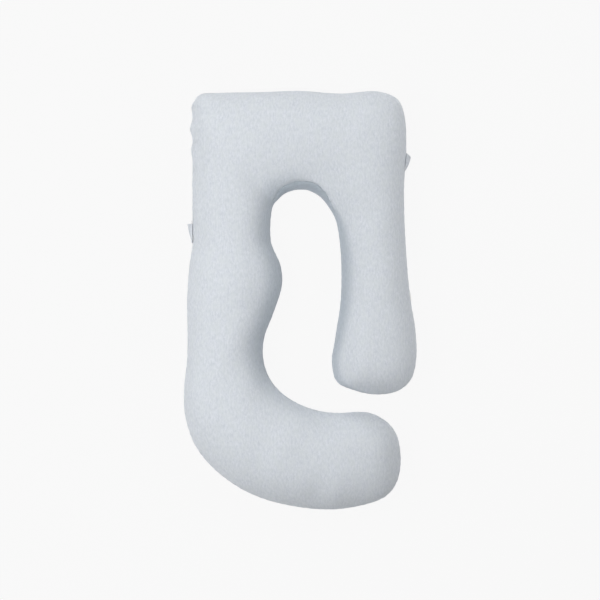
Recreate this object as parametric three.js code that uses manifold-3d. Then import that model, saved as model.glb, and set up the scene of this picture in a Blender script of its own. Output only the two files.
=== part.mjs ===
// A full-length nursing and maternity pillow, lying flat on its underside. Millimetres, +Z up.
//
// It is one stuffed tube: a short straight leg, a broad head section, and a long leg whose lower end
// curls back towards the short one. From outside to inside it is a two-panel knitted cover with a zip
// along the head section's outer edge, a two-panel liner, and one fibre filling.
//
// Every soft piece is cut from one surface, surface(rib, angle, depth). A rib crosses the tube from its
// inner edge to its outer edge, the angle goes round the tube's section, and the depth is measured
// inwards from the cover's face, so the layers nest with a constant gap.

import * as THREE from "three";
import Module from "manifold-3d";

const wasm = await Module();
wasm.setup();

// ---------------------------------------------------------------- driving dimensions

// The tube's two ends, and its ribs between them: [outer x, outer y, inner x, inner y].
const SHORT_END = [262, -328];
const CURL_END = [350, -553];
const RIBS = [
  // short leg, from its blunt end up
  [342, -314, 181, -311],
  [386, -273, 127, -283],
  [403, -205, 110, -215],
  [401, -110, 121, -135],
  [382, 12, 140, -5],
  [367, 190, 141, 160],
  [361, 370, 124, 278],
  [367, 520, 96, 326],
  // head section, fanning round the arch
  [360, 640, 69, 355],
  [336, 694, 44, 372],
  [270, 720, 24, 381],
  [140, 713, 6, 383],
  [0, 722, -12, 382],
  [-140, 718, -32, 376],
  [-280, 715, -54, 365],
  [-348, 708, -74, 348],
  [-371, 668, -90, 331],
  // long leg: its outer edge is straight where the zip slider runs
  [-371, 620, -99, 292],
  [-371, 240, -99, 200],
  [-371, 205, -88, 169],
  [-383, 120, -68, 122],
  [-390, 10, -62, 55],
  [-390, -90, -91, -45],
  [-391, -200, -123, -130],
  [-402, -310, -127, -200],
  // curl
  [-394, -420, -106, -267],
  [-350, -525, -60, -323],
  [-261, -616, 0, -360],
  [-145, -682, 75, -385],
  [0, -718, 140, -391],
  [120, -725, 200, -387],
  [225, -708, 246, -392],
  [300, -677, 300, -421],
  [336, -630, 335, -467],
];
const LAST = RIBS.length + 1; // the rib number of the curl's end; the short leg's end is 0
const LONG_LEG = [18, 22]; // ribs between which the zip's left end lies
const SHORT_LEG = [6, 9]; // and its right end

const WIDEST_Z = 85; // height of the tube's widest line, where the seam runs
// The crown's height grows with the tube's width, and eases over to its greatest height.
const CROWN_Z = { narrow: 105, perWidth: 0.31, most: 193.5, ease: 4 };
// A section's shape: x to the first power and z to the second make 1. The top is nearly round outside
// and more pointed inside, but not at the arch, and the underside is flatter.
const POWERS = { outer: [2.25, 1.9], inner: [2.5, 1.35], arch: [2.6, 2.8], under: [2.6, 2.6] };
const UNDER_SINK = 0.1; // share of the underside pressed flat against the surface it lies on
const END_ROUND = { short: 125, curl: 175 }; // lengths over which the tube's ends swell to full height
const END_POWER = 2.3;

// Inside the bend, and most of all at the bump, the top slopes down to the inner edge from further out:
// the crown line moves out by these shares of the width.
const LEAN = { from: 6.5, full: 9.5, until: 26, to: 29.5, bend: 0.03, bump: 0.035, bumpRib: 22.2 };

// Round the arch the seam rolls up over the tube, because the inside curve is tight.
const ARCH = { from: 6.3, full: 9, until: 15, to: 17.5, widestZ: 62 };
const SEAM_LIFT = {
  angle: 0.54,
  peakRib: 12.7,
  before: { reach: 6.6, power: 4 },
  after: { reach: 5, power: 2 },
};

// Layers, as depths below the cover's face.
const COVER = [0, 1.2];
const ZIP_TAPE = [1.5, 2.1];
const ZIP_COIL = [-0.8, 1.2];
const LINER = [4.4, 5.2];
const FILLING_DEPTH = 5.6;
const SEAM_GAP = 0.3; // between the upper and lower halves, and between touching pieces

// The zip runs from the long leg's outer edge over the head section to the short leg's outer edge.
const ZIP_LEFT_Y = 247.5; // where the coils end on the long leg
const ZIP_RIGHT_Y = 492; // and on the short leg
const TAPE_TAIL = 22; // length of tape past the coils, under the end tabs
const COIL_SPAN = [0.8, 3.4]; // from the zip's centre line, up or down
const TAPE_SPAN = [0.8, 15];
const PANEL_EDGE = 6.5; // how far the folded panel edge stands from the zip's centre line

const SLIDER_REST_Y = 254; // parked under the left tab, against the top stops
const SLIDER = { length: 12.5, front: 9.8, rear: 7.8, corner: 1.6, overlap: 0.2 };
const SLIDER_PLATES = { outer: [1.2, 2.4], inner: [-3.6, -2.5] }; // heights above the cover's face
const SLIDER_POST = { half: 0.4, fromFront: [1.5, 5] };
const FLANGE = { foot: 0.7, clear: 0.3 };
const BRIDGE = { halfLength: 4.2, halfWidth: 1.1, under: 4.4, over: 5.4, post: 1 };
const PULL = { pivot: 3.4, thick: 1, length: 20, width: 6.8, front: 0.5, neck: 2.8 };
const PULL_EYE = { from: 0.5, to: 5.3, half: 1.6, wall: 1 };
const PULL_GRIP = { inset: 1.5, long: 3, wide: 1.4 };
// The stops' bars in front of the tape and behind it, and their web across the tape's edge.
const TOP_STOP = {
  length: [0.4, 3.6],
  bar: [0.2, 3.2],
  web: [0.2, 0.5],
  front: [-1.1, 0.8],
  back: [-3.4, -2.5],
};
const BOTTOM_STOP = { length: [0.4, 4.4], bar: 3.4, web: 0.5, front: [-1, 1.1], back: [-3.7, -2.8] };

const END_TABS = {
  left: { mouthY: 263, length: 66, out: 15, slant: 0, within: LONG_LEG },
  right: { mouthY: 508, length: 59, out: 14, slant: 13, within: SHORT_LEG },
};
const TAB_HALF_HEIGHT = 17;
const TAB_CLOTH = 1.2;
const TAB_CLEAR = 0.8;
const TAB_TAPER = 1.6; // power of the scoop's fall to its far end
const TAB_ROUND = 0.7; // power of its mouth's curve

const LABEL = { width: 30, drop: 48, cloth: 0.8, clear: 1, y: 12 };

// ---------------------------------------------------------------- the tube's surface

// The seam's closed loop: out along the outer edge, back along the inner edge.
const loop = new THREE.CatmullRomCurve3(
  [
    SHORT_END,
    ...RIBS.map((r) => [r[0], r[1]]),
    CURL_END,
    ...RIBS.map((r) => [r[2], r[3]]).reverse(),
  ].map(([x, y]) => new THREE.Vector3(x, y, 0)),
  true,
  "centripetal",
);
const outerEdge = (rib) => loop.getPoint(rib / (2 * LAST));
const innerEdge = (rib) => loop.getPoint((2 * LAST - rib) / (2 * LAST));

const smooth = THREE.MathUtils.smoothstep;
const between = (rib, { from, full, until, to }) =>
  smooth(rib, from, full) * (1 - smooth(rib, until, to));
const archShare = (rib) => between(rib, ARCH);
const lean = (rib) =>
  LEAN.bend * between(rib, LEAN) + LEAN.bump * Math.exp(-((rib - LEAN.bumpRib) ** 2));

function seamLift(rib) {
  const { angle, peakRib, before, after } = SEAM_LIFT;
  const { reach, power } = rib < peakRib ? before : after;
  return angle * (1 - Math.min(1, Math.abs(rib - peakRib) / reach) ** power);
}

// How far an end has swollen, 0 at its tip and 1 where the tube is at its full height.
function swell(middle, tip, reach) {
  const share = Math.min(1, middle.distanceTo(new THREE.Vector3(...tip, 0)) / reach);
  return Math.sqrt(1 - (1 - share) ** END_POWER);
}

function crownHeight(width) {
  const { narrow, perWidth, most, ease } = CROWN_Z;
  const share = (perWidth * width) / (most - narrow);
  return narrow + ((most - narrow) * share) / (1 + share ** ease) ** (1 / ease);
}

function section(rib) {
  const inner = innerEdge(rib);
  const outer = outerEdge(rib);
  const middle = inner.clone().lerp(outer, 0.5);
  const width = inner.distanceTo(outer);
  const swollen =
    swell(middle, SHORT_END, END_ROUND.short) * swell(middle, CURL_END, END_ROUND.curl);
  const crown = crownHeight(width);
  const innerWidest = WIDEST_Z + (ARCH.widestZ - WIDEST_Z) * archShare(rib);
  return { inner, outer, crown, innerWidest, swollen };
}

function sectionPowers(rib, angle) {
  if (Math.sin(angle) < 0) return POWERS.under;
  if (Math.cos(angle) <= 0) return POWERS.outer;
  return POWERS.inner.map((power, i) => THREE.MathUtils.lerp(power, POWERS.arch[i], archShare(rib)));
}

// A point of the cover's face. Angle 0 is the inner edge's widest point, PI / 2 the crown,
// PI the outer edge's widest point and 3 PI / 2 the underside.
function facePoint(rib, angle) {
  const { inner, outer, crown, innerWidest, swollen } = section(rib);
  const above = Math.sin(angle) >= 0;
  const [xPower, zPower] = sectionPowers(rib, angle);
  const outward = (1 - Math.sign(Math.cos(angle)) * Math.abs(Math.cos(angle)) ** (2 / xPower)) / 2;
  const rise = Math.abs(Math.sin(angle)) ** (2 / zPower) * swollen;
  const widest = THREE.MathUtils.lerp(innerWidest, WIDEST_Z, outward);
  const point = inner.lerp(outer, outward + (above ? lean(rib) * rise : 0));
  point.z = above
    ? widest + (crown - widest) * rise
    : Math.max(0, widest * (1 - (1 + UNDER_SINK) * rise));
  return point;
}

const STEP = 0.004; // in ribs and in radians, for the surface's normal

function surface(rib, angle, depth) {
  const point = facePoint(rib, angle);
  const atTip = rib < STEP || rib > LAST - STEP;
  const normal = new THREE.Vector3();
  if (atTip) {
    const along = loop.getTangent(rib < 1 ? 0 : 0.5);
    normal.set(along.y, -along.x, 0);
  } else {
    const alongTube = facePoint(rib + STEP, angle).sub(facePoint(rib - STEP, angle));
    const roundTube = facePoint(rib, angle + STEP).sub(facePoint(rib, angle - STEP));
    normal.crossVectors(roundTube, alongTube).normalize();
  }
  return point.addScaledVector(normal, -depth);
}

// The angle at which the outer edge's face is a given height above (or, negative, below) its widest line.
function angleAbove(rib, height) {
  const { crown, swollen } = section(rib);
  const reach = height >= 0 ? crown - WIDEST_Z : WIDEST_Z * (1 + UNDER_SINK);
  const power = (height >= 0 ? POWERS.outer : POWERS.under)[1] / 2;
  const turn = Math.asin((Math.abs(height) / (reach * swollen)) ** power);
  return height >= 0 ? Math.PI - turn : Math.PI + turn;
}
const outerFace = (rib, height, depth) => surface(rib, angleAbove(rib, height), depth);

// The rib whose outer edge is at a given y, between two ribs.
function ribAt(y, [low, high]) {
  const rising = outerEdge(high).y > outerEdge(low).y;
  for (let i = 0; i < 40; i++) {
    const mid = (low + high) / 2;
    if (outerEdge(mid).y < y === rising) low = mid;
    else high = mid;
  }
  return (low + high) / 2;
}

// ---------------------------------------------------------------- solids from points

function steps(from, to, count) {
  return Array.from({ length: count + 1 }, (_, i) => from + ((to - from) * i) / count);
}

// One closed body from triangles of points, faces pointing out. Triangles that collapse at a tip are dropped.
function bodyOf(triangles) {
  const whole = triangles.filter(
    ([a, b, c]) => a.distanceTo(b) > 1e-6 && b.distanceTo(c) > 1e-6 && c.distanceTo(a) > 1e-6,
  );
  const volume = whole.reduce((sum, [a, b, c]) => sum + a.dot(b.clone().cross(c)), 0);
  const corners = whole.flatMap(([a, b, c]) => (volume > 0 ? [a, b, c] : [a, c, b]));
  return new THREE.BufferGeometry().setFromPoints(corners);
}

const quad = (a, b, c, d) => [
  [a, b, c],
  [a, c, d],
];

// A sheet of cloth with thickness: two grids of points, joined round their borders.
function sheet(outside, inside) {
  const rows = outside.length - 1;
  const columns = outside[0].length - 1;
  const triangles = [];
  for (let i = 0; i < rows; i++) {
    for (let j = 0; j < columns; j++) {
      triangles.push(
        ...quad(outside[i][j], outside[i][j + 1], outside[i + 1][j + 1], outside[i + 1][j]),
        ...quad(inside[i][j], inside[i + 1][j], inside[i + 1][j + 1], inside[i][j + 1]),
      );
    }
    for (const [j, turned] of [[0, false], [columns, true]]) {
      const rim = [outside[i][j], outside[i + 1][j], inside[i + 1][j], inside[i][j]];
      triangles.push(...quad(...(turned ? rim.reverse() : rim)));
    }
  }
  for (let j = 0; j < columns; j++) {
    for (const [i, turned] of [[0, true], [rows, false]]) {
      const rim = [outside[i][j], outside[i][j + 1], inside[i][j + 1], inside[i][j]];
      triangles.push(...quad(...(turned ? rim.reverse() : rim)));
    }
  }
  return bodyOf(triangles);
}

// A tube through rings of points whose first and last ring have shrunk to a point.
function closedTube(rings) {
  const triangles = [];
  rings.slice(1).forEach((ring, i) => {
    ring.forEach((_, j) => {
      const k = (j + 1) % ring.length;
      triangles.push(...quad(rings[i][j], rings[i][k], ring[k], ring[j]));
    });
  });
  return bodyOf(triangles);
}

// ---------------------------------------------------------------- soft pieces

const zipRibs = {
  left: ribAt(ZIP_LEFT_Y, LONG_LEG),
  right: ribAt(ZIP_RIGHT_Y, SHORT_LEG),
};
const tapeRibs = {
  left: ribAt(ZIP_LEFT_Y - TAPE_TAIL, LONG_LEG),
  right: ribAt(ZIP_RIGHT_Y - TAPE_TAIL, SHORT_LEG),
};
const MOUTH_RAMP = 0.1; // ribs over which the panel edges part at each end of the zip

// Stations along the tube: close together at its ends, round the head section and where the zip ends.
const stations = [
  ...steps(0, 3, 6),
  ...steps(4, 8, 4),
  ...steps(8.5, 18, 19),
  ...steps(19, 23, 4),
  ...steps(23 + 2 / 3, LAST, 17),
  tapeRibs.right - MOUTH_RAMP,
  tapeRibs.right,
  zipRibs.right,
  zipRibs.left,
  tapeRibs.left,
  tapeRibs.left + MOUTH_RAMP,
].sort((a, b) => a - b);

const inZip = (rib) => rib >= tapeRibs.right && rib <= tapeRibs.left;
const zipEdge = (rib) => (inZip(rib) ? PANEL_EDGE : 0);

// Section angles of the two halves. The last ones are at the zip, where a panel ends a little short of
// the zip's centre line and lies flat over the tape.
const zipSide = (rib, side, edge) =>
  inZip(rib)
    ? [angleAbove(rib, side * TAPE_SPAN[1]), edge ? angleAbove(rib, side * edge) : Math.PI]
    : [Math.PI * (1 - side / 14), Math.PI];
const upperAngles = (rib, edge) => [
  ...steps(seamLift(rib), Math.PI * 0.8, 6),
  ...zipSide(rib, 1, edge),
];
const FLANK = Math.PI * 1.875; // the underside's last angle before the inner edge
const underAngles = (rib, edge) => [
  ...zipSide(rib, -1, edge).reverse(),
  ...steps(Math.PI * 1.2, FLANK, 5),
  ...steps(FLANK, 2 * Math.PI + seamLift(rib), 2).slice(1),
];

function panel([faceDepth, backDepth], anglesOf, edgeOf, lift) {
  const grid = (depth) =>
    stations.map((rib) =>
      anglesOf(rib, edgeOf(rib)).map((angle) => {
        const point = surface(rib, angle, depth);
        point.z += lift;
        return point;
      }),
    );
  return sheet(grid(faceDepth), grid(backDepth));
}

const noZip = () => 0;
const coverTop = panel(COVER, upperAngles, zipEdge, SEAM_GAP);
const coverBottom = panel(COVER, underAngles, zipEdge, 0);
const linerTop = panel(LINER, upperAngles, noZip, SEAM_GAP);
const linerBottom = panel(LINER, underAngles, noZip, 0);

const filling = closedTube(
  stations.map((rib) =>
    [...upperAngles(rib, 0), ...underAngles(rib, 0).slice(1, -1)].map((angle) =>
      surface(rib, angle, FILLING_DEPTH),
    ),
  ),
);

// A strip along the zip between two ribs, on one side of its centre line: side is 1 above and -1 below.
function zipStrip(ends, heights, depths, side) {
  const along = stations.filter((rib) => rib >= ends.right && rib <= ends.left);
  const grid = (depth) => along.map((rib) => heights.map((h) => outerFace(rib, side * h, depth)));
  return sheet(grid(depths[0]), grid(depths[1]));
}
const zipTape = (side) =>
  zipStrip(tapeRibs, [TAPE_SPAN[0], PANEL_EDGE, TAPE_SPAN[1]], ZIP_TAPE, side);
const zipCoil = (side) => zipStrip(zipRibs, COIL_SPAN, ZIP_COIL, side);

// A scoop of cover cloth over one end of the zip: open towards the zip, tapering away to nothing.
function endTab({ mouthY, length, out, slant, within }) {
  const grid = (height) =>
    steps(0, 1, 7).map((far) =>
      steps(-1, 1, 8).map((up) => {
        const y = mouthY - far * length - slant * (1 - up * up) * (1 - far);
        const rib = ribAt(y, within);
        const bulge = out * (1 - far ** TAB_TAPER) * (1 - up * up) ** TAB_ROUND;
        return outerFace(rib, up * TAB_HALF_HEIGHT, -(height + bulge));
      }),
    );
  return sheet(grid(TAB_CLEAR + TAB_CLOTH), grid(TAB_CLEAR));
}

// ---------------------------------------------------------------- zip hardware
// Each is modelled with +x out of the pillow, +y along the zip and +z across it.

const OUT_OF_PLANE = new THREE.Matrix4().makeBasis(
  new THREE.Vector3(0, 1, 0),
  new THREE.Vector3(0, 0, 1),
  new THREE.Vector3(1, 0, 0),
);

function plate(outline, [from, to]) {
  const shape = new THREE.Shape(outline.map(([y, z]) => new THREE.Vector2(y, z)));
  return new THREE.ExtrudeGeometry(shape, { depth: to - from, bevelEnabled: false })
    .translate(0, 0, from)
    .applyMatrix4(OUT_OF_PLANE);
}

function block([x0, x1], [y0, y1], [z0, z1]) {
  return new THREE.BoxGeometry(x1 - x0, y1 - y0, z1 - z0).translate(
    (x0 + x1) / 2,
    (y0 + y1) / 2,
    (z0 + z1) / 2,
  );
}

function solidOf(geometry) {
  const flat = geometry.index ? geometry.toNonIndexed() : geometry;
  const source = flat.getAttribute("position");
  const seen = new Map();
  const vertices = [];
  const corners = [];
  for (let i = 0; i < source.count; i++) {
    const point = [source.getX(i), source.getY(i), source.getZ(i)];
    const key = point.map((v) => v.toFixed(4)).join();
    if (!seen.has(key)) {
      seen.set(key, seen.size);
      vertices.push(...point);
    }
    corners.push(seen.get(key));
  }
  return new wasm.Manifold(
    new wasm.Mesh({
      numProp: 3,
      vertProperties: new Float32Array(vertices),
      triVerts: new Uint32Array(corners),
    }),
  );
}

function geometryOf(solid) {
  const mesh = solid.getMesh();
  return new THREE.BufferGeometry()
    .setAttribute("position", new THREE.BufferAttribute(mesh.vertProperties, 3))
    .setIndex(new THREE.BufferAttribute(mesh.triVerts, 1));
}

const joined = (...geometries) =>
  geometryOf(geometries.map(solidOf).reduce((whole, piece) => whole.add(piece)));

// The slider: two plates joined by a thin post that runs between the coils, side flanges that hold the
// coils in, and a bridge over the top for the pull. Its wide end, +y, faces the top stops.
function sliderGeometry() {
  const { length, front, rear, corner, overlap } = SLIDER;
  const half = length / 2;
  const outline = [
    [-half, -rear / 2 + corner],
    [-half + corner, -rear / 2],
    [0, -rear / 2],
    [half - corner * 2, -front / 2],
    [half - corner, -front / 2],
    [half, -front / 2 + corner],
    [half, front / 2 - corner],
    [half - corner, front / 2],
    [half - corner * 2, front / 2],
    [0, rear / 2],
    [-half + corner, rear / 2],
    [-half, rear / 2 - corner],
  ];
  const { outer, inner } = SLIDER_PLATES;
  const flangeFrom = COIL_SPAN[1] + FLANGE.clear;
  const [postFrom, postTo] = SLIDER_POST.fromFront;
  const strap = BRIDGE.halfWidth;
  return joined(
    plate(outline, outer),
    plate(outline, inner),
    block(
      [inner[1] - overlap, outer[0] + overlap],
      [half - postTo, half - postFrom],
      [-SLIDER_POST.half, SLIDER_POST.half],
    ),
    ...[-1, 1].map((side) =>
      block(
        [FLANGE.foot, outer[0] + overlap],
        [-half + corner, half - corner],
        side > 0 ? [flangeFrom, rear / 2] : [-rear / 2, -flangeFrom],
      ),
    ),
    block([BRIDGE.under, BRIDGE.over], [-BRIDGE.halfLength, BRIDGE.halfLength], [-strap, strap]),
    ...[-1, 1].map((end) =>
      block(
        [outer[1] - overlap, BRIDGE.under + overlap],
        end > 0
          ? [BRIDGE.halfLength - BRIDGE.post, BRIDGE.halfLength]
          : [-BRIDGE.halfLength, -BRIDGE.halfLength + BRIDGE.post],
        [-strap, strap],
      ),
    ),
  );
}

// The pull lies along the closed coils, -y, and hooks round the slider's bridge with the bar of its eye.
function pullGeometry() {
  const { thick, length, width, front, neck } = PULL;
  const half = width / 2;
  const eyeEnd = -PULL_EYE.to - PULL_EYE.wall;
  const tip = new THREE.Shape();
  tip.moveTo(front, -neck);
  tip.lineTo(front, neck);
  tip.lineTo(eyeEnd, neck);
  tip.lineTo(-length + half, half);
  tip.absarc(-length + half, 0, half, Math.PI / 2, (Math.PI * 3) / 2, false);
  tip.lineTo(eyeEnd, -neck);
  tip.closePath();
  const hook = new THREE.Path();
  hook.moveTo(-PULL_EYE.from, -PULL_EYE.half);
  hook.lineTo(-PULL_EYE.to, -PULL_EYE.half);
  hook.lineTo(-PULL_EYE.to, PULL_EYE.half);
  hook.lineTo(-PULL_EYE.from, PULL_EYE.half);
  hook.closePath();
  const grip = new THREE.Path();
  const gripAt = -length + half + PULL_GRIP.inset;
  grip.absellipse(gripAt, 0, PULL_GRIP.long, PULL_GRIP.wide, 0, Math.PI * 2, true);
  tip.holes.push(hook, grip);
  return new THREE.ExtrudeGeometry(tip, { depth: thick, bevelEnabled: false, curveSegments: 8 })
    .translate(0, 0, PULL.pivot - thick / 2)
    .applyMatrix4(OUT_OF_PLANE);
}

// A metal clip crimped round the tape's edge, closing one coil's end. Its web stands beside the tape.
function topStopGeometry(side) {
  const { length, bar, web, front, back } = TOP_STOP;
  const across = ([a, b]) => (side > 0 ? [a, b] : [-b, -a]);
  return joined(
    block(front, length, across(bar)),
    block(back, length, across(bar)),
    block([back[0], front[1]], length, across(web)),
  );
}

// The closed end's clip: one bar over both coils' ends, and one behind the tapes, joined between them.
function bottomStopGeometry() {
  const { length, bar, web, front, back } = BOTTOM_STOP;
  return joined(
    block(front, length, [-bar, bar]),
    block(back, length, [-bar, bar]),
    block([back[0], front[1]], length, [-web, web]),
  );
}

// ---------------------------------------------------------------- the assembly

const cloth = (color) => new THREE.MeshStandardMaterial({ color, roughness: 0.95, metalness: 0 });
const metal = (color) => new THREE.MeshStandardMaterial({ color, roughness: 0.35, metalness: 0.8 });
const nylon = (color) => new THREE.MeshStandardMaterial({ color, roughness: 0.45, metalness: 0 });
const coverCloth = cloth(0xcdd3dc);
const linerCloth = cloth(0xf1f1ee);
const tapeCloth = cloth(0xbcc3cc);
const coilNylon = nylon(0xaeb5bf);
const zincGrey = metal(0xb4b8bd);

const pillow = new THREE.Group();

function add(name, geometry, material) {
  const mesh = new THREE.Mesh(geometry, material);
  mesh.name = name;
  pillow.add(mesh);
  return mesh;
}

// Puts a piece on the outer edge's seam or zip line, its +x out of the pillow.
function onSeam(mesh, rib, endForEnd = false) {
  const out = surface(rib, Math.PI, -1).sub(surface(rib, Math.PI, 0));
  mesh.position.copy(facePoint(rib, Math.PI));
  mesh.rotation.z = Math.atan2(out.y, out.x);
  if (endForEnd) mesh.rotation.x = Math.PI;
}

add("cover_top_panel", coverTop, coverCloth);
add("cover_bottom_panel", coverBottom, coverCloth);
add("liner_top_panel", linerTop, linerCloth);
add("liner_bottom_panel", linerBottom, linerCloth);
add("fibre_filling", filling, cloth(0xf7f7f5));

add("zip_tape_upper", zipTape(1), tapeCloth);
add("zip_tape_lower", zipTape(-1), tapeCloth);
add("zip_coil_upper", zipCoil(1), coilNylon);
add("zip_coil_lower", zipCoil(-1), coilNylon);
add("zip_end_tab_left", endTab(END_TABS.left), coverCloth);
add("zip_end_tab_right", endTab(END_TABS.right), coverCloth);

const sliderRib = ribAt(SLIDER_REST_Y, LONG_LEG);
onSeam(add("zip_slider", sliderGeometry(), zincGrey), sliderRib);
onSeam(add("zip_pull", pullGeometry(), zincGrey), sliderRib);
onSeam(add("zip_top_stop_upper", topStopGeometry(1), zincGrey), zipRibs.left);
onSeam(add("zip_top_stop_lower", topStopGeometry(-1), zincGrey), zipRibs.left);
onSeam(add("zip_bottom_stop", bottomStopGeometry(), zincGrey), zipRibs.right, true);

const label = block(
  [LABEL.clear, LABEL.clear + LABEL.cloth],
  [-LABEL.width / 2, LABEL.width / 2],
  [-LABEL.drop, 0],
);
onSeam(add("care_label", label, cloth(0xf4f4f2)), ribAt(LABEL.y, [4, 7]));

export default pillow;
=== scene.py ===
"""A full-length nursing and maternity pillow, lying flat on its underside.

It is one stuffed tube: a short straight leg, a broad head section, and a long leg whose lower end
curls back towards the short one. The knitted cover has two panels, joined by a seam along the tube's
inner edge and by a zip along the head section's outer edge.

Every soft piece is cut from one surface, the one that the CAD model is cut from. A rib crosses the
tube from its inner edge to its outer edge, and an angle goes round the tube's section: 0 at the inner
edge's widest line, pi / 2 at the crown, pi at the outer edge and 3 pi / 2 underneath.
"""

import math
from collections import namedtuple
from contextlib import contextmanager

import bmesh
import bpy
import numpy as np
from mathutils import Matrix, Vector
from mathutils.kdtree import KDTree


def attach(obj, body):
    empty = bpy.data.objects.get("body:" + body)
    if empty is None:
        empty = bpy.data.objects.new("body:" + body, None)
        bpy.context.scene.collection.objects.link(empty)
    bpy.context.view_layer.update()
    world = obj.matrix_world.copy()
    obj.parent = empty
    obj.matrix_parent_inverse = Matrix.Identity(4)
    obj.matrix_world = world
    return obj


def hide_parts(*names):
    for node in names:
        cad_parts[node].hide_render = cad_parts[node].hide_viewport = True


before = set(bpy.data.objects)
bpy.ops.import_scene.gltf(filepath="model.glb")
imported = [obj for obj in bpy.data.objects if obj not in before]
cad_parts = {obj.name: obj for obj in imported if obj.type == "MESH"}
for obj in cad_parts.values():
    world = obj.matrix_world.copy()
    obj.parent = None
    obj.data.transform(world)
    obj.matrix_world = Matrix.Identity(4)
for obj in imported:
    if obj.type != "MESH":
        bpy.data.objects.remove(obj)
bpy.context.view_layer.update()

# ---- the tube's driving dimensions, in metres

SHORT_END = (0.262, -0.328)
CURL_END = (0.350, -0.553)
RIBS = [  # outer x, outer y, inner x, inner y
    # short leg, from its blunt end up
    (0.342, -0.314, 0.181, -0.311),
    (0.386, -0.273, 0.127, -0.283),
    (0.403, -0.205, 0.110, -0.215),
    (0.401, -0.110, 0.121, -0.135),
    (0.382, 0.012, 0.140, -0.005),
    (0.367, 0.190, 0.141, 0.160),
    (0.361, 0.370, 0.124, 0.278),
    (0.367, 0.520, 0.096, 0.326),
    # head section, fanning round the arch
    (0.360, 0.640, 0.069, 0.355),
    (0.336, 0.694, 0.044, 0.372),
    (0.270, 0.720, 0.024, 0.381),
    (0.140, 0.713, 0.006, 0.383),
    (0.000, 0.722, -0.012, 0.382),
    (-0.140, 0.718, -0.032, 0.376),
    (-0.280, 0.715, -0.054, 0.365),
    (-0.348, 0.708, -0.074, 0.348),
    (-0.371, 0.668, -0.090, 0.331),
    # long leg: its outer edge is straight where the zip slider runs
    (-0.371, 0.620, -0.099, 0.292),
    (-0.371, 0.240, -0.099, 0.200),
    (-0.371, 0.205, -0.088, 0.169),
    (-0.383, 0.120, -0.068, 0.122),
    (-0.390, 0.010, -0.062, 0.055),
    (-0.390, -0.090, -0.091, -0.045),
    (-0.391, -0.200, -0.123, -0.130),
    (-0.402, -0.310, -0.127, -0.200),
    # curl
    (-0.394, -0.420, -0.106, -0.267),
    (-0.350, -0.525, -0.060, -0.323),
    (-0.261, -0.616, 0.000, -0.360),
    (-0.145, -0.682, 0.075, -0.385),
    (0.000, -0.718, 0.140, -0.391),
    (0.120, -0.725, 0.200, -0.387),
    (0.225, -0.708, 0.246, -0.392),
    (0.300, -0.677, 0.300, -0.421),
    (0.336, -0.630, 0.335, -0.467),
]
LAST = len(RIBS) + 1  # the rib number of the curl's end; the short leg's end is 0

WIDEST_Z = 0.085  # height of the tube's widest line, where the seam and the zip run
CROWN_NARROW, CROWN_PER_WIDTH, CROWN_MOST = 0.105, 0.31, 0.1935
CROWN_EASE = 4  # power of the smooth bend from the slope to the greatest height
# A section's shape: x to the first power and z to the second make 1. The inner side is the more pointed.
OUTER_TOP, INNER_TOP, ARCH_TOP, UNDER = (2.25, 1.9), (2.5, 1.35), (2.6, 2.8), (2.6, 2.6)
UNDER_SINK = 0.1  # share of the underside pressed flat against the floor
SHORT_END_ROUND, CURL_END_ROUND = 0.125, 0.175  # lengths over which the ends swell to full height
END_POWER = 2.3

# Inside the bend, and most of all at the bump, the tube's top slopes to the inner edge from further out.
LEAN, LEAN_BUMP = 0.030, 0.035  # how far the crown line moves out, as a share of the width
LEAN_RIBS = (6.5, 9.5, 26, 29.5)  # where that begins, is full, begins to end, and has ended
LEAN_BUMP_RIB = 22.2

# Round the arch the seam rolls up over the tube, because the inside curve is tight.
ARCH_RIBS = (6.3, 9, 15, 17.5)  # where the arch begins, is full, begins to end, and has ended
ARCH_WIDEST_Z = 0.062
SEAM_LIFT, SEAM_PEAK = 0.48, 12.7  # greatest angle that the seam rolls up, and the rib where it does
SEAM_TOWARDS_SHORT, SEAM_TOWARDS_LONG = (6.9, 3.2), (5.0, 2)  # reach in ribs, and power of the fall

# The zip: where its tapes end on the long leg and on the short leg, and its cross dimensions.
TAPE_LEFT_Y, TAPE_RIGHT_Y = 0.2255, 0.470
COIL_LEFT_Y, COIL_RIGHT_Y = 0.2475, 0.492
HEM_GAP = 0.0065  # from the zip's centre line to the folded edge of the cover
TAPE_SPAN = (0.00045, 0.015)  # from the zip's centre line, up or down
TAPE_DEPTHS = (0.0015, 0.0021)
ZIP_RAMP = 0.06  # ribs over which the cover changes at either end of the zip

# ---- the tube's surface

SEAM_LOOP = np.array([SHORT_END, *(rib[:2] for rib in RIBS), CURL_END, *(rib[2:] for rib in RIBS[::-1])])


def smooth_step(x, low, high):
    t = np.clip((x - low) / (high - low), 0, 1)
    return t * t * (3 - 2 * t)


def between(x, begins, full, fades, ends):
    """0 outside begins and ends, 1 from full to fades, and smooth in between."""
    return smooth_step(x, begins, full) * (1 - smooth_step(x, fades, ends))


def closed_curve(points, at):
    """The closed centripetal Catmull-Rom curve through points, at fractional point numbers."""
    base = np.floor(at).astype(int)
    share = (at - base)[..., None]
    a, b, c, d = (points[(base + k) % len(points)] for k in (-1, 0, 1, 2))
    ab, bc, cd = (np.sqrt(length(q - p))[..., None] for p, q in ((a, b), (b, c), (c, d)))
    start = ((b - a) / ab - (c - a) / (ab + bc) + (c - b) / bc) * bc
    end = ((c - b) / bc - (d - b) / (bc + cd) + (d - c) / cd) * bc
    bend = 3 * (c - b) - 2 * start - end
    turn = 2 * (b - c) + start + end
    return b + share * (start + share * (bend + share * turn))


def length(vectors):
    return np.linalg.norm(vectors, axis=-1)


def unit(vectors):
    return vectors / np.maximum(length(vectors), 1e-12)[..., None]


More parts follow.
